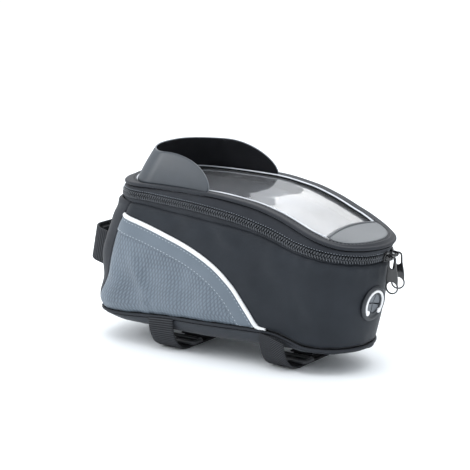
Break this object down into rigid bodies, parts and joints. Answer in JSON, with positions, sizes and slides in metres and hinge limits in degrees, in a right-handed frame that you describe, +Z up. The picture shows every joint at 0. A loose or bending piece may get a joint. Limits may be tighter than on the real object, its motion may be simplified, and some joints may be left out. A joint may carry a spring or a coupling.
{
  "type": "bicycle top tube bag",
  "caption": "Zipped fabric bag that straps on a tube, with a hinged lid, clear phone window, sun hood, reflective piping, cable port and hook-and-loop straps.",
  "frame": {"origin": "on the surface that the bottom straps stand on, under the middle of the whole bag's box", "axes": "+X forwards, towards the handlebar and the sun hood; +Y to the bag's left, the side with the near ripstop panel; +Z up"},
  "size_m": [0.232, 0.0904, 0.1352],
  "materials": {
    "nylon": "fine dark blue-black nylon weave",
    "dark_fabric": "dark grey woven polyester",
    "ripstop": "blue-grey ripstop with a diamond texture",
    "reflective": "white reflective piping",
    "webbing": "ribbed black webbing",
    "hook_loop": "black hook-and-loop tape",
    "lining": "thin grey lining cloth",
    "foam": "closed-cell foam",
    "board": "matt stiffener sheet",
    "coil": "black nylon zip coil",
    "rubber": "moulded dark grey rubber",
    "print": "white moulded ring",
    "plastic": "black moulded plastic",
    "hood_sheet": "thin semi-gloss dark grey sheet",
    "window": "clear flexible sheet",
    "zip_metal": "black lacquered zip hardware"
  },
  "bodies": {
    "root": {"body_wrap": "nylon", "front_panel": "dark_fabric", "side_panel_left": "ripstop", "side_panel_right": "ripstop", "reflective_strip_left": "reflective", "reflective_strip_right": "reflective", "base_pan": "dark_fabric", "base_board": "board", "base_piping": "dark_fabric", "foam_front": "foam", "foam_left": "foam", "foam_rear": "foam", "foam_right": "foam", "lining": "lining", "lid_hinge_strip": "dark_fabric", "zip_tape_lower": "webbing", "zip_coil_lower": "coil", "zip_stop_left": "coil", "zip_stop_right": "coil", "cable_port_grommet": "rubber", "cable_port_washer": "plastic", "cable_port_mark": "print", "front_bottom_strap": "webbing", "front_bottom_strap_ring": "plastic", "front_bottom_strap_loop_patch": "hook_loop", "rear_bottom_strap": "webbing", "rear_bottom_strap_ring": "plastic", "rear_bottom_strap_loop_patch": "hook_loop", "stem_strap": "webbing", "stem_strap_loop_patch": "hook_loop"},
    "lid": {"lid_gusset": "dark_fabric", "lid_binding": "dark_fabric", "lid_frame": "dark_fabric", "window": "window", "rear_patch": "dark_fabric", "hood": "hood_sheet", "phone_pad_rear": "lining", "phone_pad_front": "lining", "zip_tape_upper": "webbing", "zip_coil_upper": "coil"},
    "sleeve_flap": {"sleeve_flap": "lining"},
    "slider_left": {"slider_left": "zip_metal"},
    "slider_right": {"slider_right": "zip_metal"},
    "pull_left": {"pull_left": "zip_metal"},
    "pull_right": {"pull_right": "zip_metal"},
    "front_strap_tail": {"front_bottom_strap_tail": "webbing", "front_bottom_strap_hook_patch": "hook_loop"},
    "rear_strap_tail": {"rear_bottom_strap_tail": "webbing", "rear_bottom_strap_hook_patch": "hook_loop"},
    "stem_strap_tail": {"stem_strap_tail": "webbing", "stem_strap_hook_patch": "hook_loop"}
  },
  "joints": [
    {"name": "lid_hinge", "type": "hinge", "parent": "root", "child": "lid", "pos_m": [0.0822, 0, 0.101], "axis": [0, 1, 0], "range_deg": [0, 100]},
    {"name": "sleeve_flap_hinge", "type": "hinge", "parent": "lid", "child": "sleeve_flap", "pos_m": [0.0594, 0, 0.10239], "axis": [0, -1, 0], "range_deg": [0, 80]},
    {"name": "slider_left_run", "type": "hinge", "parent": "root", "child": "slider_left", "pos_m": [-0.0686, 0, 0.08254], "axis": [0.1867, 0, -0.9824], "range_deg": [0, 80]},
    {"name": "slider_right_run", "type": "hinge", "parent": "root", "child": "slider_right", "pos_m": [-0.0686, 0, 0.08254], "axis": [-0.1867, 0, 0.9824], "range_deg": [0, 60]},
    {"name": "pull_left_hinge", "type": "hinge", "parent": "slider_left", "child": "pull_left", "pos_m": [-0.11152, -0.00305, 0.07438], "axis": [-0.0685, 0.9976, -0.013], "range_deg": [0, 110]},
    {"name": "pull_right_hinge", "type": "hinge", "parent": "slider_right", "child": "pull_right", "pos_m": [-0.10929, -0.01426, 0.07481], "axis": [-0.3198, 0.9455, -0.0608], "range_deg": [0, 110]},
    {"name": "front_tail_peel", "type": "hinge", "parent": "root", "child": "front_strap_tail", "pos_m": [0.0384, 0.0107, 0.0044], "axis": [-1, 0, 0], "range_deg": [0, 28]},
    {"name": "rear_tail_peel", "type": "hinge", "parent": "root", "child": "rear_strap_tail", "pos_m": [-0.0491, 0.00396, 0.0044], "axis": [-1, 0, 0], "range_deg": [0, 28]},
    {"name": "stem_tail_peel", "type": "hinge", "parent": "root", "child": "stem_strap_tail", "pos_m": [0.10961, 0.008, 0.05647], "axis": [0.1687, 0, -0.9857], "range_deg": [0, 75]}
  ]
}
